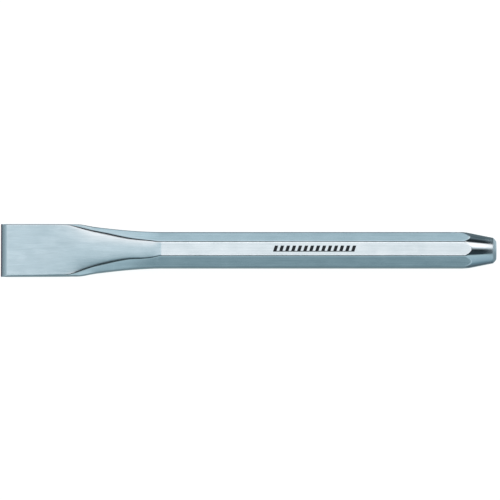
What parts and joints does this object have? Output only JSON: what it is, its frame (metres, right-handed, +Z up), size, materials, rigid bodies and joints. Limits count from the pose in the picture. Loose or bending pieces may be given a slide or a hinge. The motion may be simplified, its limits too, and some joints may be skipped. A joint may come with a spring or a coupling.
{
  "type": "cold chisel",
  "caption": "Flat cold chisel forged from octagonal bar, with a wide wedge blade, a drawn-in neck, a blunt cone struck head, and a printed band on the shank.",
  "frame": {"origin": "under the middle of the tool's length and width, on the plane of the shank facet that it lies on", "axes": "+X along the tool towards the struck face, so the cutting edge is at -X; Y along the cutting edge; +Z up, out of the shank facet that carries the printed mark"},
  "size_m": [0.2, 0.0216, 0.0148],
  "materials": {
    "satin_chrome": "satin chrome plate over forged steel, with fine lines along the tool; bright on the head's cone, and ground at the cutting edge",
    "black_ink": "thin printed film of black ink"
  },
  "bodies": {
    "root": {"forged_body": "satin_chrome", "printed_mark": "black_ink"}
  },
  "joints": []
}
